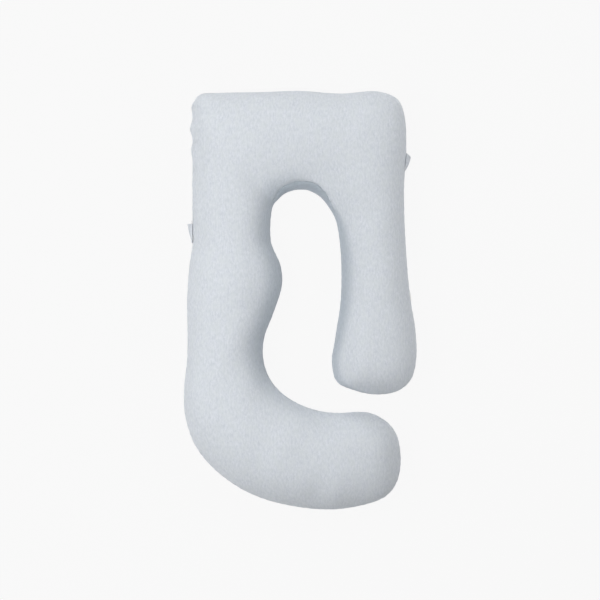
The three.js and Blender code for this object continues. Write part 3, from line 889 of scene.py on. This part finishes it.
def zip_tape(name, side, material):
    rib, height = np.meshgrid(zip_stations, side * np.linspace(*TAPE_SPAN, 7), indexing="ij")
    grids = [on_outer_face(rib, height, np.full_like(height, -depth)) for depth in TAPE_DEPTHS]
    return closed_sheet(name, *grids, material)


def tube_along(path, radius, sides):
    """Vertices and faces of a round wire along a path."""
    tangent = unit(np.gradient(path, axis=0))
    reference = unit(np.cross(tangent, np.roll(tangent, 3, axis=0) + 1e-6))
    for i in range(1, len(reference)):
        if reference[i] @ reference[i - 1] < 0:
            reference[i] = -reference[i]
    second = np.cross(tangent, reference)
    turns = np.arange(sides) * 2 * math.pi / sides
    ring = np.cos(turns)[None, :, None] * reference[:, None] + np.sin(turns)[None, :, None] * second[:, None]
    vertices = path[:, None] + radius * ring
    faces = grid_faces(len(path), sides, wrap=True)
    faces.append(tuple(range(sides)))
    faces.append(tuple(range((len(path) - 1) * sides, len(path) * sides))[::-1])
    return vertices.reshape(-1, 3), faces


COIL_PITCH, COIL_WIRE = 0.0021, 0.00034
COIL_INNER, COIL_OUTER = 0.00042, 0.0034
COIL_LOW, COIL_HIGH = -0.0010, 0.0006
COIL_POINTS = 9  # for each turn


def zip_coil(name, side, material):
    """One spiral of nylon wire. The other coil's turns lie between this one's."""
    rib = np.linspace(COIL_RIGHT, COIL_LEFT, 5000)
    travelled = travelled_along(outer_edge(rib))
    turns = int(travelled[-1] / COIL_PITCH) - 1
    turn = np.arange(turns * COIL_POINTS + 1) / COIL_POINTS
    lead = (0.25 if side > 0 else 0.75) * COIL_PITCH
    at = np.interp(turn * COIL_PITCH + lead, travelled, rib)
    swing = 2 * math.pi * turn
    middle, reach = (COIL_INNER + COIL_OUTER) / 2, (COIL_OUTER - COIL_INNER) / 2 - COIL_WIRE
    height = side * (middle - reach * np.cos(swing))
    rise = (COIL_HIGH - COIL_LOW) / 2 - COIL_WIRE
    out = (COIL_HIGH + COIL_LOW) / 2 + rise * np.sin(swing) * side
    vertices, faces = tube_along(on_outer_face(at, height, out), COIL_WIRE, 5)
    obj = mesh_object(name, vertices, faces, material)
    face_outwards(obj)
    return obj


# A scoop of cloth over each end of the zip: its mouth's y, its length, how far out the mouth stands, how
# far the mouth's middle is cut back, and two ribs that it lies between.
Tab = namedtuple("Tab", "mouth_y run out slant ribs")
END_TABS = {
    "left": Tab(0.263, 0.066, 0.015, 0.0, (18, 22)),
    "right": Tab(0.508, 0.059, 0.014, 0.013, (6, 9)),
}
TAB_HALF_HEIGHT, TAB_CLOTH, TAB_CLEAR = 0.017, 0.0012, 0.0008
TAB_HEM, TAB_HEM_RISE = 0.007, 0.0007  # depth of the hem turned in at the mouth, and its thickness
TAB_SEWN, TAB_SEWN_DEPTH, TAB_SEWN_WIDTH = 0.003, 0.0004, 0.0009  # the sewn line, from the tab's edge
TAB_HEM_SEWN = 0.0055


def on_tab(tab, far, up, lift):
    """Points of a tab: far goes from its mouth to its closed end, up across it, lift is above the cover."""
    y = tab.mouth_y - far * tab.run - tab.slant * (1 - up * up) * (1 - far)
    rib = np.vectorize(lambda wanted: rib_at(wanted, *tab.ribs))(y)
    bulge = tab.out * (1 - far**1.6) * np.clip(1 - up * up, 0, 1) ** 0.7
    return on_outer_face(rib, up * TAB_HALF_HEIGHT, bulge + lift)


def tab_outside(tab, far, up):
    """How far the tab's face is above the cover: it has round lips, a hem and a sewn-down line."""
    edge = (1 - np.abs(up)) * TAB_HALF_HEIGHT
    lip = np.sqrt(np.clip(np.minimum(far * tab.run, edge) / TAB_CLOTH, 0.15, 1))
    hem = TAB_HEM_RISE * (1 - smooth_step(far * tab.run, TAB_HEM - 0.001, TAB_HEM + 0.0008))
    sewn = -TAB_SEWN_DEPTH * np.exp(-(((edge - TAB_SEWN) / TAB_SEWN_WIDTH) ** 2))
    return TAB_CLEAR + (TAB_CLOTH + hem) * lip + sewn


def end_tab(name, tab, material):
    rows, columns = 46, 37
    far, up = np.meshgrid(np.linspace(0, 1, rows), np.linspace(-1, 1, columns), indexing="ij")
    outside = on_tab(tab, far, up, tab_outside(tab, far, up))
    inside = on_tab(tab, far, up, TAB_CLEAR)
    obj = closed_sheet(name, outside, inside, material)
    flat = outside.copy()
    flat[..., 0] = np.linspace(-TAB_HALF_HEIGHT, TAB_HALF_HEIGHT, columns)
    store(obj, "cloth", "FLOAT_VECTOR", "vector", np.concatenate([flat, flat]))
    return obj


# ---- stitches

STITCH, STITCH_GAP, STITCH_THREAD = 0.0026, 0.0008, 0.00028
STITCH_SUNK = 0.0001
HEM_SEWN = 0.0025  # from the cover's folded edge beside the zip to its row of stitches


def stitches(name, lines, material):
    """Separate stitches along each line of (points, outward normals): short beads, sunk at both ends."""
    all_vertices, all_faces = [], []
    share = np.linspace(-1, 1, 5)
    dip = np.sqrt(np.clip(1 - share**2, 0.12, 1))
    turns = np.arange(4) * math.pi / 2 + math.pi / 4
    for points, normals in lines:
        travelled = travelled_along(points)
        centres = np.arange(STITCH, travelled[-1] - STITCH, STITCH + STITCH_GAP)
        along = centres[:, None] + share * STITCH / 2
        at = np.stack([np.interp(along, travelled, points[:, k]) for k in range(3)], axis=-1)
        up = unit(np.stack([np.interp(along, travelled, normals[:, k]) for k in range(3)], axis=-1))
        run = unit(at[:, -1:] - at[:, :1]) + 0 * at
        aside = np.cross(run, up)
        thick = STITCH_THREAD * dip[None, :, None, None]
        ring = aside[:, :, None] * np.cos(turns)[None, None, :, None]
        ring = ring + up[:, :, None] * np.sin(turns)[None, None, :, None]
        body = at[:, :, None] + up[:, :, None] * (0.6 * thick - STITCH_SUNK) + ring * thick
        for bead in body:
            start = len(all_vertices) * 20
            all_vertices.append(bead.reshape(-1, 3))
            all_faces += grid_faces(5, 4, wrap=True, start=start)
            all_faces += [tuple(range(start, start + 4)), tuple(range(start + 19, start + 15, -1))]
    obj = mesh_object(name, np.concatenate(all_vertices), all_faces, material)
    face_outwards(obj)
    return obj


def panel_line(panel, inset, first, last):
    """A line on a panel at that distance from its outer edge, between two of its rows."""
    line, up = [], []
    for i in range(first, last):
        at = np.interp(panel.wanted[i, -1] - inset, panel.wanted[i], np.arange(PANEL_ROWS + 1))
        base, share = int(at), at - int(at)
        for found, grid in ((line, panel.points), (up, panel.normals)):
            found.append(grid[i, base] * (1 - share) + grid[i, base + 1] * share)
    return np.array(line), unit(np.array(up))


def tab_line(tab, places):
    """A line on a tab's outer face through those (far, up) places, and the outward directions along it."""
    far, up = np.array(places).T
    lift = tab_outside(tab, far, up)
    line = on_tab(tab, far, up, lift)
    return line, unit(on_tab(tab, far, up, lift + 0.001) - line)


def tab_lines(tab):
    """The sewn line round a tab's sides and closed end, and the line that holds its hem."""
    up_edge = 1 - TAB_SEWN / TAB_HALF_HEIGHT
    far_edge = 1 - TAB_SEWN / tab.run
    side = np.linspace(0.03, far_edge, 40)
    route = [(far, -up_edge) for far in side]
    route += [(far_edge, up) for up in np.linspace(-up_edge, up_edge, 24)]
    route += [(far, up_edge) for far in side[::-1]]
    hem = [(TAB_HEM_SEWN / tab.run, up) for up in np.linspace(-0.93, 0.93, 40)]
    return [tab_line(tab, places) for places in (route, hem)]


# ---- the care label

LABEL_Y, LABEL_WIDTH, LABEL_DROP, LABEL_CLOTH = 0.012, 0.030, 0.047, 0.0004
LABEL_CLEAR = 0.0014  # from the cover to the middle of the loop
LABEL_GAP, LABEL_SWELL = 0.0004, 0.0010  # between the loop's two sides, and how much more half-way down
LABEL_RIPPLE = 0.0005


def care_label(panel, material):
    """A folded loop of blank satin ribbon that hangs from the seam and lies against the lower panel."""
    rib = np.array(rib_at(LABEL_Y, 4, 7))
    angle = np.array(math.pi)
    root = face(rib, angle)
    out = unit(face_normal(rib, angle) * (1, 1, 0))
    side = np.cross((0, 0, 1.0), out)
    drop = np.linspace(0, 1, 26)
    gap = LABEL_SWELL * np.sin(math.pi * np.clip(drop * 1.05, 0, 1)) + LABEL_GAP
    wall = panel.points[np.searchsorted(cover_stations, rib), ::-1]
    wall = wall[: np.argmin(wall[:, 2])]  # the cover from its seam down to the floor
    curl = np.interp(LABEL_DROP * drop, root[2] - wall[:, 2], (wall - root) @ out) + LABEL_CLEAR
    front, back = (np.stack([curl + half, -LABEL_DROP * drop], axis=1) for half in (gap / 2, -gap / 2))
    loop = np.concatenate([front, back[::-1]])
    columns = np.linspace(-0.5, 0.5, 13)
    ripple = LABEL_RIPPLE * (1 + np.sin(columns * 6 + 0.8))[None] * (loop[:, 1:2] / LABEL_DROP) ** 2
    tangent = unit(np.gradient(loop, axis=0))
    grids = []
    for thick in (LABEL_CLOTH / 2, -LABEL_CLOTH / 2):
        shell = loop + thick * np.stack([tangent[:, 1], -tangent[:, 0]], axis=1)
        grids.append(
            root
            + (shell[:, None, :1] + ripple[..., None]) * out
            + shell[:, None, 1:] * np.array([0, 0, 1.0])
            + (columns * LABEL_WIDTH)[None, :, None] * side
        )
    return closed_sheet("care_label_ribbon", *grids, material)


# ---- the assembly

cover_stations = stations(STATION_SPACING)
zip_stations = stations(ZIP_SPACING, TAPE_RIGHT, TAPE_LEFT)
seams = Seams()

cloth = jersey()
liner_cloth = woven("liner_cloth", (0.86, 0.86, 0.84), (0.78, 0.78, 0.76), 0.0008)
tape_cloth = woven("zip_tape_weave", (0.56, 0.60, 0.66), (0.44, 0.48, 0.54), 0.0006)
satin = woven("label_satin", (0.90, 0.90, 0.88), (0.80, 0.80, 0.79), 0.0004, roughness=0.35, sheen=0.3)
metal = zinc()

panels = {part: Panel(side, seams) for part, side in (("top", 1), ("bottom", -1))}
for panel, shift in zip(panels.values(), settle(list(panels.values()), seams)):
    panel.move(shift)

for part, panel in panels.items():
    cover = cover_panel(f"cover_{part}_cloth", panel, cloth)
    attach(cover, "pillow")
    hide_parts(f"cover_{part}_panel")

    grid = inner_grid(panel, seams, LINER_GAP)
    liner = mesh_object(
        f"liner_{part}_cloth", grid, grid_faces(*grid.shape[:2], flip=panel.side > 0), liner_cloth
    )
    merge_tips(liner)
    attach(liner, "pillow")
    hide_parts(f"liner_{part}_panel")

halves = [inner_grid(panel, seams, LINER_GAP + FILLING_GAP) for panel in panels.values()]
tube = np.concatenate([halves[0], halves[1][:, ::-1]], axis=1)
filling = mesh_object(
    "filling_fibre", tube, grid_faces(*tube.shape[:2], flip=True, wrap=True), fibre()
)
merge_tips(filling, 1e-4)
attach(filling, "pillow")
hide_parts("fibre_filling")

coil_nylon = nylon()
sewing = thread()
for part, side in (("upper", 1), ("lower", -1)):
    tape = zip_tape(f"zip_tape_weave_{part}", side, tape_cloth)
    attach(tape, "pillow")
    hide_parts(f"zip_tape_{part}")

    coil = zip_coil(f"zip_coil_spiral_{part}", side, coil_nylon)
    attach(coil, "pillow")
    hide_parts(f"zip_coil_{part}")

first, last = np.searchsorted(cover_stations, [TAPE_RIGHT, TAPE_LEFT])
hem_lines = [panel_line(panel, HEM_SEWN, first, last) for panel in panels.values()]
tab_seams = []
for part, tab in END_TABS.items():
    scoop = end_tab(f"zip_end_tab_cloth_{part}", tab, cloth)
    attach(scoop, "pillow")
    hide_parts(f"zip_end_tab_{part}")
    tab_seams += tab_lines(tab)

for name, lines in (("hem_stitches", hem_lines), ("tab_stitches", tab_seams)):
    sewn = stitches(name, lines, sewing)
    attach(sewn, "pillow")

label = care_label(panels["bottom"], satin)
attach(label, "pillow")
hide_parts("care_label")

for name in ("zip_slider", "zip_pull", "zip_top_stop_upper", "zip_top_stop_lower", "zip_bottom_stop"):
    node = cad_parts[name]
    node.data.materials.clear()
    node.data.materials.append(metal)
    edges = node.modifiers.new("worn_edges", "BEVEL")
    edges.width = 0.00022
    edges.segments = 2
    edges.limit_method = "ANGLE"

# ---- floor, light and camera

FLOOR_HALF = 9.0
VIEW_HEIGHT = 8.0  # of the camera above the floor
VIEW_WIDTH = 2.0748  # of the floor that it shows, at the pillow's widest height
SENSOR_WIDTH = 36.0
LAMP_SIZE, LAMP_DISTANCE = 1.6, 3.0
LAMPS = [  # azimuth from +X, elevation, watts
    ("lamp_right", 0, 40, 18.2),
    ("lamp_back_right", 45, 40, 17.4),
    ("lamp_back_left", 135, 40, 17.9),
    ("lamp_left", 180, 40, 14.0),
    ("lamp_front_left", 225, 40, 13.4),
    ("lamp_front", 270, 40, 5.5),
    ("lamp_high_left", 180, 65, 31.0),
    ("lamp_mid_back", 90, 20, 5.1),
    ("lamp_mid_front", 270, 20, 7.4),
    ("lamp_low_right", 0, 7, 9.8),
    ("lamp_low_back", 90, 7, 17.7),
]


def studio_plane(name, z, base, glow):
    """A matt floor. Part of its brightness is its own, so only faint shadows show on it."""
    nodes = Nodes(name)
    grain = nodes.noise(nodes.object_place(), scale=1.5, detail=2)
    shades = [tuple(base * share for _ in range(3)) for share in (0.97, 1.0)]
    material = nodes.shaded(
        Base_Color=nodes.mix(grain, *shades),
        Roughness=1.0,
        Specular_IOR_Level=0.0,
        Emission_Color=(1, 1, 1, 1),
        Emission_Strength=glow,
    )
    corners = [(x * FLOOR_HALF, y * FLOOR_HALF, z) for x, y in ((-1, -1), (1, -1), (1, 1), (-1, 1))]
    plane = mesh_object(name, corners, [(0, 1, 2, 3)], material)
    return plane


def soft_lamp(name, azimuth, elevation, power):
    lamp = bpy.data.lights.new(name, "AREA")
    lamp.shape = "DISK"
    lamp.size = LAMP_SIZE
    lamp.energy = power
    azimuth, elevation = math.radians(azimuth), math.radians(elevation)
    level = math.cos(elevation)
    away = Vector((math.cos(azimuth) * level, math.sin(azimuth) * level, math.sin(elevation)))
    obj = new_object(name, lamp)
    obj.location = away * LAMP_DISTANCE
    obj.rotation_euler = away.to_track_quat("Z", "Y").to_euler()
    obj.visible_camera = False


# The camera sees an even, glowing floor. A matt white one just under it lights the pillow from below.
seen_floor = studio_plane("studio_floor", z=-0.0005, base=0.02, glow=0.925)
seen_floor.visible_diffuse = False
seen_floor.visible_shadow = False
lit_floor = studio_plane("bounce_floor", z=-0.0010, base=0.80, glow=0.0)
lit_floor.visible_camera = False

for lamp in LAMPS:
    soft_lamp(*lamp)

world = bpy.data.worlds.new("studio")
world.use_nodes = True
world.node_tree.nodes["Background"].inputs["Color"].default_value = (0.90, 0.91, 0.93, 1)
world.cycles_visibility.diffuse = False
world.cycles_visibility.glossy = False
bpy.context.scene.world = world
bpy.context.scene.view_settings.view_transform = "Standard"

camera_data = bpy.data.cameras.new("camera")
camera_data.sensor_width = SENSOR_WIDTH
camera_data.lens = SENSOR_WIDTH * (VIEW_HEIGHT - WIDEST_Z) / VIEW_WIDTH
camera = new_object("camera", camera_data)
camera.location = (0, 0, VIEW_HEIGHT)
bpy.context.scene.camera = camera
